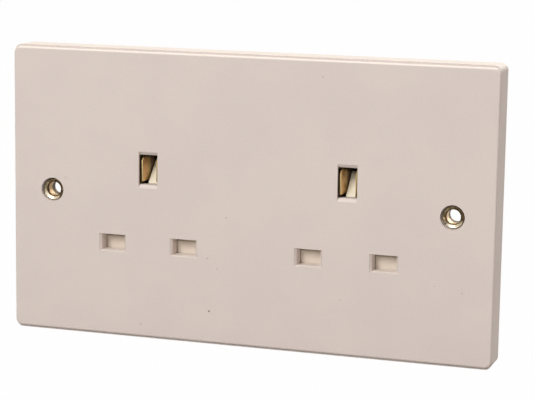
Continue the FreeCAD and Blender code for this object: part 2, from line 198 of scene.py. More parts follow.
plateLook = {
    "warmPatch": srgb(217, 205, 198),
    "coolPatch": srgb(214, 202, 196),
    "patchScale": 45.0, "patchDetail": 4.0, "patchFade": (0.35, 0.65),
    "grainScale": 2600.0, "grainDetail": 2.0, "grainFade": (0.3, 0.7), "grainShare": 0.08,
    # line slots: painted light on their sills and side walls
    "sill": srgb(246, 236, 228), "sillHeight": -17.0, "slotTop": -12.2,
    "slotDepth": (-9.7, -9.2), "slotBand": (0.08, 0.2), "slotSoft": 0.1, "wallLightShare": 0.4,
    # painted shade behind the earth slots
    "well": srgb(96, 80, 58), "wellDepth": (-9.3, -9.1),
    "earthHeight": 7.6, "wellAcross": (4.5, 4.6), "wellUp": (4.3, 4.4),
    # painted highlight along the upper front edge
    "brow": srgb(223, 213, 207), "browHeight": (41.4, 41.7), "browDepth": (-9.4, -9.2),
    "speckColour": srgb(128, 112, 104), "speckDepth": (-9.7, -9.5),
    "speckCore": 0.35, "speckRagged": 0.3,
    "specks": [  # x, z and radius on the front face, and how dark
        (-10.8, -32.6, 0.42, 1.0), (-5.8, -4.7, 0.40, 0.42), (-11.4, -17.0, 0.36, 0.42),
        (-32.0, -38.3, 0.36, 0.5), (63.7, -21.1, 0.36, 0.32), (28.6, -26.0, 0.36, 0.3),
        (22.3, 37.2, 0.34, 0.32), (55.8, -19.7, 0.3, 0.36), (-8.5, -19.9, 0.3, 0.4),
    ],
    "scratchCore": 0.3, "scratchEnd": 0.6,
    "scratches": [  # x, z, half length and half width, and how dark
        (-56.2, 3.8, 0.45, 0.16, 0.42), (-55.4, 3.8, 0.5, 0.14, 0.26),
    ],
    "roughness": 0.62, "grainRough": 0.12, "dirtPolish": 0.1, "shine": 0.35,
    "bump": 0.25, "bumpDepth": 0.02, "dirtDip": 0.6,
}


def plateDirt(board, look, x, z, grain):
    # specks and short scratches, the darkest mark at each spot
    ragged = grain.swing() * look["speckRagged"]
    marks = []
    for speckX, speckZ, radius, dark in look["specks"]:
        away = distance(x - speckX, z - speckZ) + ragged
        marks.append(away.fall(radius * look["speckCore"], radius) * dark)
    for markX, markZ, length, width, dark in look["scratches"]:
        across = abs(x - markX).fall(width * look["scratchCore"], width)
        along = abs(z - markZ).fall(length * look["scratchEnd"], length)
        marks.append(across * along * dark)
    dirt = marks[0]
    for mark in marks[1:]:
        dirt = board.math("MAXIMUM", dirt, mark)
    return dirt


def platePlastic():
    look = plateLook
    material, board = startMaterial("platePlastic")
    place = objectPlace(board)
    x, y, z = axesInMm(board, place)
    patches = noise(board, place, look["patchScale"], look["patchDetail"])
    grain = noise(board, place, look["grainScale"], look["grainDetail"])
    colour = blendColour(board, patches.rise(*look["patchFade"]), look["coolPatch"], look["warmPatch"])
    grainShare = grain.rise(*look["grainFade"]) * look["grainShare"]
    colour = blendColour(board, grainShare, colour, look["speckColour"])
    # painted light on the sills and side walls of the line slots
    fromPin = fromLinePin(x)
    halfSlot = pinLayout["slotWidth"] / 2
    soft = look["slotSoft"]
    inDepth = y.rise(*look["slotDepth"])
    sill = abs(z - look["sillHeight"]).fall(*look["slotBand"])
    sill = sill * fromPin.fall(halfSlot, halfSlot + soft)
    colour = blendColour(board, sill * inDepth, colour, look["sill"])
    wallLight = abs(fromPin - halfSlot).fall(*look["slotBand"])
    wallLight = wallLight * z.rise(look["sillHeight"] - soft, look["sillHeight"])
    wallLight = wallLight * z.fall(look["slotTop"], look["slotTop"] + soft)
    colour = blendColour(board, wallLight * inDepth * look["wallLightShare"], colour, look["sill"])
    # painted shade in the hollow behind each earth slot
    well = y.rise(*look["wellDepth"]) * fromSocketLine(x).fall(*look["wellAcross"])
    well = well * abs(z - look["earthHeight"]).fall(*look["wellUp"])
    colour = blendColour(board, well, colour, look["well"])
    # painted highlight on the upper front edge
    brow = z.rise(*look["browHeight"]) * y.fall(*look["browDepth"])
    colour = blendColour(board, brow, colour, look["brow"])
    dirt = plateDirt(board, look, x, z, grain) * y.fall(*look["speckDepth"])
    colour = blendColour(board, dirt, colour, look["speckColour"])
    surface = board.node("ShaderNodeBsdfPrincipled", inputs={
        "Base Color": colour,
        "Roughness": look["roughness"] + grain.swing() * look["grainRough"] - dirt * look["dirtPolish"],
        "Specular IOR Level": look["shine"],
        "Normal": bumped(board, grain - dirt * look["dirtDip"], look["bump"], look["bumpDepth"]),
    })
    closeMaterial(board, surface)
    return material


mouldedLook = {  # shared by shutters and housing
    "patchDetail": 4.0, "patchFade": (0.3, 0.7), "patchRough": 0.1,
    "grainDetail": 2.0, "grainRough": 0.1,
    "flowFade": (0.55, 0.75), "flowShare": 0.25,
    "shine": 0.4, "bump": 0.2, "bumpDepth": 0.02,
}

shutterLook = {
    **mouldedLook,
    "colour": srgb(233, 221, 206),
    "shade": srgb(228, 214, 198),
    "streak": srgb(237, 227, 214),
    "patchScale": 160.0,
    "grainScale": 3000.0,
    "flow": (500.0, 500.0, 90.0),
    "roughness": 0.5,
    "pale": srgb(255, 251, 231), "rampLightHeight": (-2.0, 1.0),  # painted light on the ramps
    # painted shade where the plate's slot edges shadow the shutters: heights, and reach from a pin
    "rub": srgb(166, 152, 136), "rubFoot": (-13.6, -13.2), "rubTop": (-11.8, -11.7),
    "rubSide": (3.45, 3.65), "rubReach": (4.5, 4.6),
}

housingLook = {
    **mouldedLook,
    "colour": srgb(225, 216, 206),
    "shade": srgb(218, 208, 197),
    "streak": srgb(231, 223, 214),
    "patchScale": 55.0,
    "grainScale": 2200.0,
    "flow": (60.0, 220.0, 220.0),
    "roughness": 0.48,
}


def shutterPaintedLightAndShade(board, look, place, colour):
    x, _, z = axesInMm(board, place)
    # painted light on the ramps
    colour = blendColour(board, z.rise(*look["rampLightHeight"]), colour, look["pale"])
    # painted shade on the shutters where the slot edges shadow them
    fromPin = fromLinePin(x)
    slotShaded = board.math("MAXIMUM", fromPin.rise(*look["rubSide"]), z.rise(*look["rubFoot"]))
    slotShaded = slotShaded * z.fall(*look["rubTop"]) * fromPin.fall(*look["rubReach"])
    return blendColour(board, slotShaded, colour, look["rub"])


def mouldedPlastic(name, look):
    material, board = startMaterial(name)
    place = objectPlace(board)
    patches = noise(board, place, look["patchScale"], look["patchDetail"])
    grain = noise(board, place, look["grainScale"], look["grainDetail"])
    flow = noise(board, stretched(board, place, look["flow"]), 1.0)
    colour = blendColour(board, patches.rise(*look["patchFade"]), look["shade"], look["colour"])
    colour = blendColour(board, flow.rise(*look["flowFade"]) * look["flowShare"], colour, look["streak"])
    if "rub" in look:
        colour = shutterPaintedLightAndShade(board, look, place, colour)
    unevenness = grain.swing() * look["grainRough"] + patches.swing() * look["patchRough"]
    surface = board.node("ShaderNodeBsdfPrincipled", inputs={
        "Base Color": colour,
        "Roughness": look["roughness"] + unevenness,
        "Specular IOR Level": look["shine"],
        "Normal": bumped(board, grain, look["bump"], look["bumpDepth"]),
    })
    closeMaterial(board, surface)
    return material


metalLook = {  # shared by all worked metal
    "lineDetail": 4.0, "lineFade": (0.55, 0.8), "lineShare": 0.18,
    "lineRough": 0.12, "lineDepth": 0.01,
    "tarnishDetail": 5.0, "dullFade": (0.42, 0.72), "dullRough": 0.16,
    "breakUp": 0.6,
    "metal": 1.0,
}

terminalLook = {
    **metalLook,
    "colour": srgb(206, 172, 108),
    "bright": srgb(232, 204, 142),
    "tarnish": srgb(150, 112, 64),
    "lines": (2600.0, 2600.0, 200.0),
    "lineStrength": 0.3,
    "tarnishScale": 350.0,
    "tarnishShare": 0.5,
    "roughness": 0.3,
}

springLook = {
    **metalLook,
    "colour": srgb(178, 178, 180),
    "bright": srgb(214, 214, 216),
    "tarnish": srgb(120, 116, 112),
    "lines": (2400.0, 2400.0, 2400.0),
    "lineStrength": 0.15,
    "tarnishScale": 600.0,
    "tarnishShare": 0.4,
    "roughness": 0.28,
}

screwLook = {
    **metalLook,
    "colour": srgb(196, 186, 158),
    "bright": srgb(224, 218, 200),
    "tarnish": srgb(140, 124, 92),
    "lines": (1800.0, 500.0, 1800.0),
    "lineStrength": 0.25,
    "tarnishScale": 500.0,
    "tarnishShare": 0.45,
    "roughness": 0.32,
}

contactLook = {
    **metalLook,
    "colour": srgb(233, 203, 142),
    "bright": srgb(250, 234, 182),
    "tarnish": srgb(150, 118, 66),
    "lines": (3000.0, 260.0, 3000.0),
    "lineStrength": 0.3,
    "tarnishScale": 420.0,
    "tarnishShare": 0.5,
    "roughness": 0.34,
    "metal": 0.4,
    # copper tint on the leaves behind the lips, brightened as painted reflection: depths, and reach from
    # the socket's middle line
    "copperAndSheen": srgb(250, 192, 126), "copperShare": 0.8, "copperRagged": 3.0,
    "copperFront": (-8.2, -7.8), "copperBack": (-7.0, -4.6), "leafReach": (5.0, 6.0),
    # painted shade deep in the contacts
    "deep": srgb(138, 118, 104), "deepDepth": (-4.6, -2.6), "deepShare": 0.85,
    "leafDepth": (-8.0, -7.4),
    "top": srgb(58, 46, 34), "leafTopShadeHeight": (10.2, 11.3), "leafTopShadeShare": 0.9,  # painted shade on the earth leaf tops
    # lips of the earth contacts: painted shade on their outer edges and on the right lip
    "edge": srgb(84, 64, 28), "edgeReach": (2.12, 2.27), "edgeLean": 0.036, "edgeFoot": 4.0,
    "rightLip": srgb(196, 164, 92), "lipInner": (1.5, 1.6), "lipOuter": (3.5, 3.6),
}


def metalNoises(board, look, place):
    # fine lines along the working direction, and soft tarnish
    lines = noise(board, stretched(board, place, look["lines"]), 1.0, look["lineDetail"], look["breakUp"])
    tarnish = noise(board, place, look["tarnishScale"], look["tarnishDetail"], look["breakUp"])
    return lines, tarnish, tarnish.rise(*look["dullFade"])


def brightLines(board, look, lines, colour):
    return blendColour(board, lines.rise(*look["lineFade"]) * look["lineShare"], colour, look["bright"])


def closeMetal(board, look, colour, lines, dull):
    surface = board.node("ShaderNodeBsdfPrincipled", inputs={
        "Base Color": colour,
        "Metallic": look["metal"],
        "Roughness": look["roughness"] + dull * look["dullRough"] + lines.swing() * look["lineRough"],
        "Normal": bumped(board, lines, look["lineStrength"], look["lineDepth"]),
    })
    closeMaterial(board, surface)


def workedMetal(name, look):
    # sheet, drawn or turned metal
    material, board = startMaterial(name)
    lines, _, dull = metalNoises(board, look, objectPlace(board))
    colour = blendColour(board, dull * look["tarnishShare"], look["colour"], look["tarnish"])
    closeMetal(board, look, brightLines(board, look, lines, colour), lines, dull)
    return material


def contactBrass():
    look = contactLook
    material, board = startMaterial("contactBrass")
    place = objectPlace(board)
    x, y, z = axesInMm(board, place)
    fromSocket = fromSocketLine(x)
    lines, tarnish, dull = metalNoises(board, look, place)
    colour = blendColour(board, dull * look["tarnishShare"], look["colour"], look["tarnish"])
    # copper tint with painted reflection on the leaves behind the lips
    worn = y.rise(*look["copperFront"]) * fromSocket.fall(*look["leafReach"])
    worn = worn * (y + tarnish.swing() * look["copperRagged"]).fall(*look["copperBack"])
    colour = blendColour(board, worn * look["copperShare"], colour, look["copperAndSheen"])
    colour = brightLines(board, look, lines, colour)
    # painted shade where the leaves run deep and at the tops of the earth leaves
    colour = blendColour(board, y.rise(*look["deepDepth"]) * look["deepShare"], colour, look["deep"])
    inside = y.rise(*look["leafDepth"])
    top = z.rise(*look["leafTopShadeHeight"]) * inside * look["leafTopShadeShare"]
    colour = blendColour(board, top, colour, look["top"])
    # painted shade on the earth lips
    toRight = (abs(x) - pinLayout["socketPitch"] / 2) * board.math("SIGN", x)
    onRight = toRight.rise(*look["lipInner"]) * toRight.fall(*look["lipOuter"]) * (1 - inside)
    colour = blendColour(board, onRight, colour, look["rightLip"])
    reach = fromSocket - (z - look["edgeFoot"]) * look["edgeLean"]
    colour = blendColour(board, reach.rise(*look["edgeReach"]) * (1 - inside), colour, look["edge"])
    closeMetal(board, look, colour, lines, dull)
    return material


eyeletLook = {
    "pitch": 120.6,
    "flange": srgb(160, 146, 118),
    "speck": srgb(104, 90, 66), "speckFade": (0.45, 0.6),
    "glint": srgb(214, 200, 170), "glintFade": (0.62, 0.72),
    "speckScale": 1500.0, "speckBreakUp": 0.6, "ragged": 0.3,
    "worn": srgb(240, 231, 206), "sheenLean": 0.25, "sheenFade": (0.45, 0.8),  # painted highlight on the dish under the bore
    # painted shade round the flange's rim, lighter on the lower side
    "edge": srgb(62, 48, 33), "edgeShadeLow": srgb(136, 121, 99),
    "edgeShare": 0.85, "edgeRadius": (2.86, 3.02),
    # bands down the bore, painted shade at the mouth and far end and a painted reflection between: depths
    # along Y
    "boreRadius": (2.3, 2.4),
    "mouth": srgb(74, 52, 26), "mouthDepth": (-8.88, -8.68),
    "bore": srgb(240, 212, 172), "boreDepth": (-8.07, -7.83),
    "far": srgb(94, 74, 46), "farDepth": (-5.9, -5.3),
    "wobble": 0.35, "wobbleScale": 600.0, "wobbleDetail": 2.0,
    "roughness": 0.3, "grainRough": 0.3, "edgeRough": 0.15, "boreRough": 0.25,
    "bump": 0.3, "bumpDepth": 0.02,
}


def eyeletBrass():
    look = eyeletLook
    material, board = startMaterial("eyeletBrass")
    place = objectPlace(board)
    x, y, z = axesInMm(board, place)
    across = abs(x) - look["pitch"] / 2
    radius = distance(across, z)
    grain = noise(board, place, look["speckScale"], roughness=look["speckBreakUp"])
    ragged = grain.swing() * look["ragged"]
    wobble = noise(board, place, look["wobbleScale"], look["wobbleDetail"]).swing() * look["wobble"]
    depth = y + wobble
    colour = blendColour(board, grain.rise(*look["speckFade"]), look["speck"], look["flange"])
    colour = blendColour(board, grain.rise(*look["glintFade"]), colour, look["glint"])
    # painted highlight on the lower side of the dish
    under = ((across * look["sheenLean"] - z) / radius + ragged).rise(*look["sheenFade"])
    colour = blendColour(board, under, colour, look["worn"])
    # painted shade round the flange's rim, lighter on the lower side
    edge = (radius + ragged).rise(*look["edgeRadius"])
    edgeShadeColour = blendColour(board, under, look["edge"], look["edgeShadeLow"])
    colour = blendColour(board, edge * look["edgeShare"], colour, edgeShadeColour)
    # painted reflection in the bore, with painted shade at its mouth and far end
    inBore = radius.fall(*look["boreRadius"])
    lit = depth.rise(*look["boreDepth"]) * inBore
    colour = blendColour(board, depth.rise(*look["mouthDepth"]) * inBore, colour, look["mouth"])
    colour = blendColour(board, lit, colour, look["bore"])
    colour = blendColour(board, depth.rise(*look["farDepth"]), colour, look["far"])
    unevenness = grain.swing() * look["grainRough"] + edge * look["edgeRough"] + lit * look["boreRough"]
    surface = board.node("ShaderNodeBsdfPrincipled", inputs={
        "Base Color": colour,
        "Metallic": 1.0,
        "Roughness": look["roughness"] + unevenness,
        "Normal": bumped(board, grain, look["bump"], look["bumpDepth"]),
    })
    closeMaterial(board, surface)
    return material


finishes = {
    "plate_plastic": platePlastic(),
    "shutter_plastic": mouldedPlastic("shutterPlastic", shutterLook),
    "housing_plastic": mouldedPlastic("housingPlastic", housingLook),
    "contact_brass": contactBrass(),
    "eyelet_brass": eyeletBrass(),
    "terminal_brass": workedMetal("terminalBrass", terminalLook),
    "spring_steel": workedMetal("springSteel", springLook),
    "screw_steel": workedMetal("screwSteel", screwLook),
}
slotOf = {part["node"]: part["material_slot"] for part in frame["record"]["subparts"]}
bodyOf = {}
for bodyName, nodeNames in frame["record"]["behaviour"]["bodies"].items():
    for nodeName in nodeNames:
        bodyOf[nodeName] = bodyName
for nodeName, nodeObject in frame["nodes"].items():
    nodeObject.data.materials.clear()
    nodeObject.data.materials.append(finishes[slotOf[nodeName]])
print("finishes made:", len(finishes))


# Pieces

def addObject(name, data):
    made = bpy.data.objects.new(name, data)
    bpy.context.scene.collection.objects.link(made)
    return made


def camelName(node):
    first, *rest = node.split("_")
    return first + "".join(word.capitalize() for word in rest)


def settle(piece):
    # the evaluated shape becomes the piece's own plain mesh
    graph = bpy.context.evaluated_depsgraph_get()
    shaped = piece.evaluated_get(graph)
    mesh = bpy.data.meshes.new_from_object(shaped, preserve_all_data_layers=True, depsgraph=graph)
    piece.modifiers.clear()
    piece.data = mesh
    mesh.name = piece.name


def standFor(piece, *nodes):
    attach(piece, bodyOf[nodes[0]])
    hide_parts(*nodes)


def weldedForm(mesh):
    form = bmesh.new()
    form.from_mesh(mesh)
    bmesh.ops.remove_doubles(form, verts=form.verts, dist=weldReach)
    return form


def writeForm(form, mesh):
    form.to_mesh(mesh)
    form.free()


edgePlan = {
    "flatFold": 0.4,  # faces within this fold, in degrees, are one flat face
    "normalWeight": 60,
    "rows": [  # nodes, edge radius in mm, steps round it and the least fold that gets one, in degrees
        (["face_plate"], 0.12, 2, 30),
        (["rear_housing"], 0.22, 2, 30),
        ([side + "_shutter" for side in sides], 0.2, 3, 30),
        (["earth_strap"], 0.1, 2, 30),
        (["live_busbar", "neutral_busbar"], 0.12, 2, 30),
        ([side + "_" + pin + "_contact" for pin in pinNames for side in sides], 0.14, 3, 25),
        ([terminal + "_terminal" for terminal in terminalNames], 0.1, 2, 30),
    ],
}


def mergedCopy(node, name):
    # a node's loose triangles joined up, with each flat face whole again
    form = weldedForm(frame["nodes"][node].data)
    flatFold = math.radians(edgePlan["flatFold"])
    bmesh.ops.dissolve_limit(form, angle_limit=flatFold, verts=form.verts, edges=form.edges)
    mesh = bpy.data.meshes.new(name)
    writeForm(form, mesh)
    return mesh


def softEdged(node, edge, steps, leastFold):
    # a node's form with its sharp edges rolled over
    name = camelName(node)
    piece = addObject(name, mergedCopy(node, name))
    piece.data.materials.append(finishes[slotOf[node]])
    for face in piece.data.polygons:
        face.use_smooth = True
    bevel = piece.modifiers.new("edge", "BEVEL")
    bevel.width = edge * mm
    bevel.segments = steps
    bevel.limit_method = "ANGLE"
    bevel.angle_limit = math.radians(leastFold)
    bevel.miter_outer = "MITER_ARC"
    shade = piece.modifiers.new("shade", "WEIGHTED_NORMAL")
    shade.weight = edgePlan["normalWeight"]
    shade.keep_sharp = False
    settle(piece)
    standFor(piece, node)


softCount = 0
for softNodes, softEdge, softSteps, softFold in edgePlan["rows"]:
    for softNode in softNodes:
        softEdged(softNode, softEdge, softSteps, softFold)
        softCount += 1
print("moulded and stamped pieces made:", softCount)


# Trees for what repeats or winds

def startTree(name, sizes):
    tree = bpy.data.node_groups.new(name, "GeometryNodeTree")
    tree.interface.new_socket("Geometry", in_out="INPUT", socket_type="NodeSocketGeometry")
    for label, kind in sizes.items():
        tree.interface.new_socket(label, in_out="INPUT", socket_type="NodeSocket" + kind)
    tree.interface.new_socket("Material", in_out="INPUT", socket_type="NodeSocketMaterial")
    tree.interface.new_socket("Geometry", in_out="OUTPUT", socket_type="NodeSocketGeometry")
    entry = tree.nodes.new("NodeGroupInput")
    given = {socket.name: Wire(tree, socket) for socket in entry.outputs if socket.name}
    return tree, Wire(tree), given


def closeTree(board, shape, given):
    whole = board.node("GeometryNodeRealizeInstances", inputs={"Geometry": shape})
    finished = board.node("GeometryNodeSetMaterial", inputs={
        "Geometry": whole, "Material": given["Material"],
    })
    board.node("NodeGroupOutput", inputs={"Geometry": finished})


def grow(name, tree, anchors, values):
    # one piece from a tree, repeated at each anchor point
    mesh = bpy.data.meshes.new(name)
    mesh.from_pydata(anchors, [], [])
    piece = addObject(name, mesh)
    modifier = piece.modifiers.new("grow", "NODES")
    modifier.node_group = tree
    for item in tree.interface.items_tree:
        if item.in_out == "INPUT" and item.name in values:
            modifier[item.identifier] = values[item.name]
    settle(piece)
    return piece


def islandBoxes(node):
    # the box of each separate solid in a node
    form = weldedForm(frame["nodes"][node].data)
    unseen = set(form.verts)
    boxes = []
    while unseen:
        waiting = [unseen.pop()]
        found = list(waiting)
        while waiting:
            vert = waiting.pop()
            for link in vert.link_edges:
                other = link.other_vert(vert)
                if other in unseen:
                    unseen.remove(other)
                    found.append(other)
                    waiting.append(other)
        low = Vector([min(vert.co[axis] for vert in found) for axis in range(3)])
        high = Vector([max(vert.co[axis] for vert in found) for axis in range(3)])
        boxes.append((low, high))
    form.free()
    return boxes


# Return springs, in mm

springShape = {
    "wireRadius": 0.25,
    "coilRadius": 1.8,
    "turns": 6.0,
    "closing": 0.72,
    "pointsPerTurn": 28,
    "sides": 10,
    "squeezed": 0.5,
}


def springTree():
    tree, board, given = startTree("returnSpring", {
        "Wire Radius": "Float", "Coil Radius": "Float", "Length": "Float", "Turns": "Float",
        "Closing": "Float", "Points": "Int", "Sides": "Int",
    })
    line = board.node("GeometryNodeCurvePrimitiveLine")
    dense = board.node("GeometryNodeResampleCurve", inputs={"Curve": line, "Count": given["Points"]})
    share = board.node("GeometryNodeSplineParameter")
    turn = share * given["Turns"] * fullTurn
    # the pitch closes up at both ends, so that the end turns lie flat
    climb = share - board.math("SINE", share * fullTurn) * given["Closing"] / fullTurn
    height = given["Wire Radius"] + (given["Length"] - given["Wire Radius"] * 2) * climb
    spot = board.node("ShaderNodeCombineXYZ", inputs={
        "X": board.math("COSINE", turn) * given["Coil Radius"],
        "Y": board.math("SINE", turn) * given["Coil Radius"],
        "Z": height,
    })
    helix = board.node("GeometryNodeSetPosition", inputs={"Geometry": dense, "Position": spot})
    section = board.node("GeometryNodeCurvePrimitiveCircle", inputs={
        "Resolution": given["Sides"], "Radius": given["Wire Radius"],
    })
    wire = board.node("GeometryNodeCurveToMesh", inputs={
        "Curve": helix, "Profile Curve": section, "Fill Caps": True,
    })
    smooth = board.node("GeometryNodeSetShadeSmooth", inputs={"Geometry": wire})
    placed = board.node("GeometryNodeInstanceOnPoints", inputs={
        "Points": given["Geometry"], "Instance": smooth,
    })
    closeTree(board, placed, given)
    return tree


springNodes = springTree()
for side in sides:
    springNode = side + "_shutter_spring"
    low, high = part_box(springNode)
    seat = Vector(((low.x + high.x) / 2, (low.y + high.y) / 2, low.z))
    spring = grow(camelName(springNode), springNodes, [seat], {
        "Wire Radius": springShape["wireRadius"] * mm,
        "Coil Radius": springShape["coilRadius"] * mm,
        "Length": high.z - low.z,
        "Turns": springShape["turns"],
        "Closing": springShape["closing"],
        "Points": int(springShape["turns"] * springShape["pointsPerTurn"]),
        "Sides": springShape["sides"],
        "Material": finishes["spring_steel"],
    })
    standFor(spring, springNode)
    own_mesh(spring)
print("return springs wound")


# Turned templates, which the trees repeat

def turnedMesh(name, profile, corners):
    # a profile of (radius, height) points turned about Z; a radius of 0 closes an end
    mesh = bpy.data.meshes.new(name)
    points = []
    rings = []
    for radius, height in profile:
        if radius == 0:
            rings.append([len(points)] * corners)
            points.append((0, 0, height * mm))
            continue
        rings.append(range(len(points), len(points) + corners))
        for step in range(corners):
            turn = fullTurn * step / corners
            points.append((radius * mm * math.cos(turn), radius * mm * math.sin(turn), height * mm))
    faces = []
    for lower, upper in zip(rings, rings[1:]):
        for step in range(corners):
            following = (step + 1) % corners
            loop = [lower[step], lower[following], upper[following], upper[step]]
            faces.append(list(dict.fromkeys(loop)))
    mesh.from_pydata(points, [], faces)
    form = bmesh.new()
    form.from_mesh(mesh)
    bmesh.ops.recalc_face_normals(form, faces=form.faces)
    writeForm(form, mesh)
    return mesh


def arcPoints(centreRadius, centreHeight, reach, start, end, steps):
    # points on an arc of a turned profile, angles in degrees
    arc = []
    for step in range(steps + 1):
        angle = math.radians(start + (end - start) * step / steps)
        arc.append((centreRadius + reach * math.cos(angle), centreHeight + reach * math.sin(angle)))
    return arc


# Slotted screws, in mm

screwShape = {  # shared by clamp and cover screws
    "slotWidth": 0.8, "slotDepth": 1.1, "slotOver": 2.2,  # the cutter's length in head radii
    "rimSteps": 5, "seatChamfer": 0.12, "neckRound": 0.2, "neckLength": 0.5,
    "threadSteps": 24, "crestCorners": 4,
    "turn": (math.radians(-90), math.radians(90), 0),  # heads to the back, slots upright
}
clampScrewShape = {
    **screwShape,
    "headRadius": 3.3, "headHeight": 2.2, "headRound": 0.45, "sides": 56,
    "coreRadius": 1.36, "threadRadius": 1.7, "pitch": 0.7, "tipRound": 0.4,
}
coverScrewShape = {
    **screwShape,
    "headRadius": 2.4, "headHeight": 1.6, "headRound": 0.4, "sides": 48,
    "coreRadius": 1.15, "threadRadius": 1.5, "pitch": 0.9, "tipRound": 0.8,
}


def screwTree():
    tree, board, given = startTree("slottedScrew", {
        "Blank": "Object", "Slot Width": "Float", "Slot Depth": "Float", "Slot Reach": "Float",
        "Thread Radius": "Float", "Thread Length": "Float", "Thread Start": "Float",
        "Pitch": "Float", "Thread Depth": "Float", "Turn": "Rotation",
    })
    blank = board.node("GeometryNodeObjectInfo", inputs={"Object": given["Blank"]}, out="Geometry")
    cutterSize = board.node("ShaderNodeCombineXYZ", inputs={
        "X": given["Slot Reach"], "Y": given["Slot Width"], "Z": given["Slot Depth"] * 2,
    })
    cutter = board.node("GeometryNodeMeshCube", inputs={"Size": cutterSize})
    head = board.node("GeometryNodeMeshBoolean", {"operation": "DIFFERENCE", "solver": "EXACT"},
                      {0: blank, 1: [cutter]})
    crestRadius = given["Thread Depth"] * 0.5
    spiralRadius = given["Thread Radius"] - crestRadius
    spiral = board.node("GeometryNodeCurveSpiral", inputs={
        "Resolution": screwShape["threadSteps"], "Rotations": given["Thread Length"] / given["Pitch"],
        "Start Radius": spiralRadius, "End Radius": spiralRadius, "Height": given["Thread Length"],
    })
    crest = board.node("GeometryNodeCurvePrimitiveCircle", inputs={
        "Resolution": screwShape["crestCorners"], "Radius": crestRadius,
    })
    thread = board.node("GeometryNodeCurveToMesh", inputs={
        "Curve": spiral, "Profile Curve": crest, "Fill Caps": True,
    })
    drop = board.node("ShaderNodeCombineXYZ", inputs={"Z": given["Thread Start"]})
    lowered = board.node("GeometryNodeTransform", inputs={"Geometry": thread, "Translation": drop})
    screw = board.node("GeometryNodeJoinGeometry", inputs={0: [head, lowered]})
    placed = board.node("GeometryNodeInstanceOnPoints", inputs={
        "Points": given["Geometry"], "Instance": screw, "Rotation": given["Turn"],
    })
    closeTree(board, placed, given)
    return tree


def screwBlank(name, shape, length):
    # head up, with the head's top at height 0
    head = shape["headRadius"]
    core = shape["coreRadius"]
    rounding = shape["headRound"]
    chamfer = shape["seatChamfer"]
    neck = shape["neckRound"]
    seat = -shape["headHeight"]
    tip = -length
    rim = arcPoints(head - rounding, -rounding, rounding, 90, 0, shape["rimSteps"])
    profile = [(0, 0)] + rim + [
        (head, seat + chamfer),
        (head - chamfer, seat),
        (core + neck, seat),
        (core, seat - neck),
        (core, tip + shape["tipRound"]),
        (core - shape["tipRound"], tip),
        (0, tip),
    ]
    return addObject(name, turnedMesh(name, profile, shape["sides"]))


def growScrews(node, shape, tree):
    boxes = islandBoxes(node)
    low, high = boxes[0]
    length = (high.y - low.y) / mm
    name = camelName(node)
    blank = screwBlank(name + "Blank", shape, length)
    anchors = [((a.x + b.x) / 2, b.y, (a.z + b.z) / 2) for a, b in boxes]
    threadLength = length - shape["headHeight"] - shape["neckLength"] - shape["tipRound"]
    piece = grow(name, tree, anchors, {
        "Blank": blank,
        "Slot Width": shape["slotWidth"] * mm,
        "Slot Depth": shape["slotDepth"] * mm,
        "Slot Reach": shape["slotOver"] * shape["headRadius"] * mm,
        "Thread Radius": shape["threadRadius"] * mm,
        "Thread Length": threadLength * mm,
        "Thread Start": (shape["tipRound"] - length) * mm,
        "Pitch": shape["pitch"] * mm,
        "Thread Depth": (shape["threadRadius"] - shape["coreRadius"]) * mm,
        "Turn": shape["turn"],
        "Material": finishes[slotOf[node]],
    })
    bpy.data.objects.remove(blank)
    standFor(piece, node)


screwNodes = screwTree()
for terminalName in terminalNames:
    growScrews(terminalName + "_terminal_screw", clampScrewShape, screwNodes)
growScrews("cover_screws", coverScrewShape, screwNodes)
print("screws cut")


# Fixing eyelets, in mm

eyeletShape = {
    "boreRadius": 2.05, "barrelRadius": 2.5, "flangeRadius": 3.2, "flangeRise": 0.6,
    "shoulderLength": 2.9, "roll": 0.3, "rollSteps": 5, "dishCurve": 1.25, "dishSteps": 8,
    "mouthRound": 0.18, "mouthSteps": 4, "boreRings": (1.2, 2.4),
    "footChamfer": 0.08, "boreChamfer": 0.12, "tailChamfer": 0.15, "shoulderChamfer": 0.1,
    "sides": 72, "turn": (math.radians(90), 0, 0),
}


def eyeletTree():
    tree, board, given = startTree("rolledEyelet", {"Blank": "Object", "Turn": "Rotation"})
    blank = board.node("GeometryNodeObjectInfo", inputs={"Object": given["Blank"]}, out="Geometry")
    smooth = board.node("GeometryNodeSetShadeSmooth", inputs={"Geometry": blank})
    placed = board.node("GeometryNodeInstanceOnPoints", inputs={
        "Points": given["Geometry"], "Instance": smooth, "Rotation": given["Turn"],
    })
    closeTree(board, placed, given)
    return tree


def eyeletProfile(shape, length):
    # closed section, from the flange's outer foot round its dished face, down the bore and back outside
    bore = shape["boreRadius"]
    barrel = shape["barrelRadius"]
    flange = shape["flangeRadius"]
    face = -shape["flangeRise"]
    roll = shape["roll"]
    mouth = shape["mouthRound"]
    foot = shape["footChamfer"]
    tail = shape["tailChamfer"]
    brim = shape["shoulderChamfer"]
    shoulder = shape["shoulderLength"] - length
    dishTop = flange - roll
    dishFoot = bore + mouth
    profile = [(barrel, face), (flange - foot, face), (flange, face + foot)]
    profile += arcPoints(dishTop, -roll, roll, 0, 90, shape["rollSteps"])
    for step in range(1, shape["dishSteps"] + 1):
        share = step / shape["dishSteps"]
        sag = 1 - (1 - share) ** shape["dishCurve"]
        profile.append((dishTop - (dishTop - dishFoot) * share, face * sag))
    profile += arcPoints(dishFoot, face - mouth, mouth, 90, 180, shape["mouthSteps"])[1:]
    profile += [(bore, face - ring) for ring in shape["boreRings"]]
    profile += [(bore, shape["boreChamfer"] - length), (bore + shape["boreChamfer"], -length)]
    profile += [(flange - tail, -length), (flange, tail - length)]
    profile += [(flange, shoulder - brim), (flange - brim, shoulder), (barrel, shoulder), (barrel, face)]
    return profile


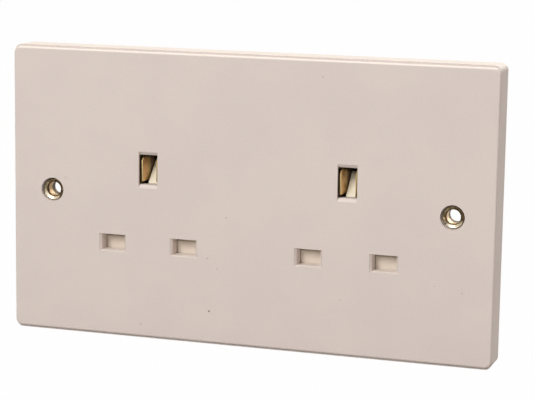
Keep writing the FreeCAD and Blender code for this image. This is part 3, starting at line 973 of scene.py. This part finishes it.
def fixingEyelets():
    boxes = islandBoxes("fixing_eyelets")
    low, high = boxes[0]
    profile = eyeletProfile(eyeletShape, (high.y - low.y) / mm)
    blank = addObject("eyeletBlank", turnedMesh("eyeletBlank", profile, eyeletShape["sides"]))
    anchors = [((a.x + b.x) / 2, a.y, (a.z + b.z) / 2) for a, b in boxes]
    piece = grow("fixingEyelets", eyeletTree(), anchors, {
        "Blank": blank,
        "Turn": eyeletShape["turn"],
        "Material": finishes["eyelet_brass"],
    })
    bpy.data.objects.remove(blank)
    form = weldedForm(piece.data)
    bmesh.ops.recalc_face_normals(form, faces=form.faces)
    writeForm(form, piece.data)
    standFor(piece, "fixing_eyelets")


fixingEyelets()
print("eyelets rolled")


# Raised terminal letters on the back of the housing, in mm

letterPlan = {
    "letters": {"N": -46.0, "E": 0.0, "L": 46.0},  # each over its terminal, along X
    "foot": 10.5, "height": 4.8, "fontScale": 1.4, "rise": 0.4, "sunk": 0.1,
}


def terminalLetters():
    plan = letterPlan
    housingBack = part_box("rear_housing")[1].y
    # read from behind: a letter's right is -X, its top +Z and its face +Y
    turn = Matrix(((-1, 0, 0), (0, 0, 1), (0, 1, 0))).to_4x4()
    middle = housingBack + (plan["rise"] - plan["sunk"]) / 2 * mm
    form = bmesh.new()
    for letter, x in plan["letters"].items():
        curve = bpy.data.curves.new("letter", "FONT")
        curve.body = letter
        curve.align_x = "CENTER"
        curve.size = plan["fontScale"] * plan["height"] * mm
        curve.extrude = (plan["rise"] + plan["sunk"]) / 2 * mm
        holder = addObject("letter", curve)
        shaped = holder.evaluated_get(bpy.context.evaluated_depsgraph_get())
        settled = bpy.data.meshes.new_from_object(shaped)
        place = Vector((x * mm, middle, plan["foot"] * mm))
        settled.transform(Matrix.Translation(place) @ turn)
        form.from_mesh(settled)
        bpy.data.objects.remove(holder)
    bmesh.ops.remove_doubles(form, verts=form.verts, dist=weldReach)
    bmesh.ops.recalc_face_normals(form, faces=form.faces)
    mesh = bpy.data.meshes.new("terminalLetters")
    writeForm(form, mesh)
    mesh.materials.append(finishes["housing_plastic"])
    piece = addObject("terminalLetters", mesh)
    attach(piece, bodyOf["rear_housing"])


terminalLetters()
print("letters raised")


# Camera, light and floor

cameraShot = {  # place in mm, angles in radians
    "place": (172.449, -517.219, 92.104),
    "azimuth": 0.3166, "elevation": 0.1685, "roll": 0.0153,
    "focalPixels": 1903.04, "imageWidth": 533, "sensor": 36.0, "nearest": 10.0,
}


def makeCamera():
    shot = cameraShot
    data = bpy.data.cameras.new("camera")
    camera = addObject("camera", data)
    azimuth, elevation, roll = shot["azimuth"], shot["elevation"], shot["roll"]
    level = math.cos(elevation)
    back = Vector((math.sin(azimuth) * level, -math.cos(azimuth) * level, math.sin(elevation)))
    right = Vector((math.cos(azimuth), math.sin(azimuth), 0))
    up = back.cross(right)
    tiltedRight = math.cos(roll) * right + math.sin(roll) * up
    tiltedUp = math.cos(roll) * up - math.sin(roll) * right
    turn = Matrix((tiltedRight, tiltedUp, back)).transposed().to_4x4()
    camera.matrix_world = Matrix.Translation(Vector(shot["place"]) * mm) @ turn
    data.sensor_width = shot["sensor"]
    data.lens = shot["focalPixels"] * shot["sensor"] / shot["imageWidth"]
    data.clip_start = shot["nearest"] * mm
    bpy.context.scene.camera = camera


lampPlan = {  # place in metres, width, power and colour of each soft lamp
    "key": ((-0.317, -1.25, 0.76), 0.55, 12.9, (1.0, 0.985, 0.985)),
    "front": ((0.2, -1.42, 0.42), 0.25, 1.4, (1.0, 0.985, 0.98)),
    "upper": ((-0.1, -0.46, 1.27), 0.6, 3.6, (1.0, 0.985, 0.98)),
    "overhead": ((-0.05, 0.0, 1.4), 0.8, 12.0, (0.97, 1.0, 0.89)),
    "side": ((1.3, -0.35, 0.25), 0.6, 2.5, (1.0, 0.8, 0.76)),
    "back": ((0.5, 1.3, 0.7), 0.8, 10.5, (1.0, 0.99, 0.97)),
}
worldLook = {"fill": (0.98, 0.98, 1.0, 1.0), "fillStrength": 0.08}
floorLook = {"height": -42.5, "size": 6.0, "colour": srgb(178, 177, 175), "shownWhite": 0.985}
plainWhite = {"Color": (1, 1, 1, 1), "Strength": 1.0}


def makeLamps():
    for name, (place, width, power, colour) in lampPlan.items():
        data = bpy.data.lights.new(name, "AREA")
        data.energy = power
        data.size = width
        data.color = colour
        lamp = addObject(name, data)
        lamp.location = place
        lamp.rotation_mode = "QUATERNION"
        lamp.rotation_quaternion = (-Vector(place)).to_track_quat("-Z", "Y")


def shownWhiteShare(board):
    # 1 for rays that show the background: to the camera, in metal and through glass
    path = board.tree.nodes.new("ShaderNodeLightPath")
    shown = Wire(board.tree, path.outputs["Is Camera Ray"])
    for name in ("Is Glossy Ray", "Is Transmission Ray"):
        shown = board.math("MAXIMUM", shown, Wire(board.tree, path.outputs[name]))
    return shown


def makeWorld():
    world = bpy.data.worlds.new("studio")
    bpy.context.scene.world = world
    world.use_nodes = True
    world.node_tree.nodes.clear()
    board = Wire(world.node_tree)
    fill = board.node("ShaderNodeBackground", inputs={
        "Color": worldLook["fill"], "Strength": worldLook["fillStrength"],
    })
    white = board.node("ShaderNodeBackground", inputs=plainWhite)
    both = board.node("ShaderNodeMixShader", inputs={0: shownWhiteShare(board), 1: fill, 2: white})
    board.node("ShaderNodeOutputWorld", inputs={"Surface": both})


def makeFloor():
    half = floorLook["size"] / 2
    height = floorLook["height"] * mm
    corners = [(x, y, height) for x, y in ((-half, -half), (half, -half), (half, half), (-half, half))]
    mesh = bpy.data.meshes.new("floor")
    mesh.from_pydata(corners, [], [(0, 1, 2, 3)])
    floor = addObject("floor", mesh)
    material, board = startMaterial("paleFloor")
    matte = board.node("ShaderNodeBsdfDiffuse", inputs={"Color": floorLook["colour"]})
    white = board.node("ShaderNodeEmission", inputs=plainWhite)
    share = shownWhiteShare(board) * floorLook["shownWhite"]
    closeMaterial(board, board.node("ShaderNodeMixShader", inputs={0: share, 1: matte, 2: white}))
    mesh.materials.append(material)


makeCamera()
makeLamps()
makeWorld()
makeFloor()
bpy.context.scene.view_settings.view_transform = "Standard"
print("camera, light and floor set")
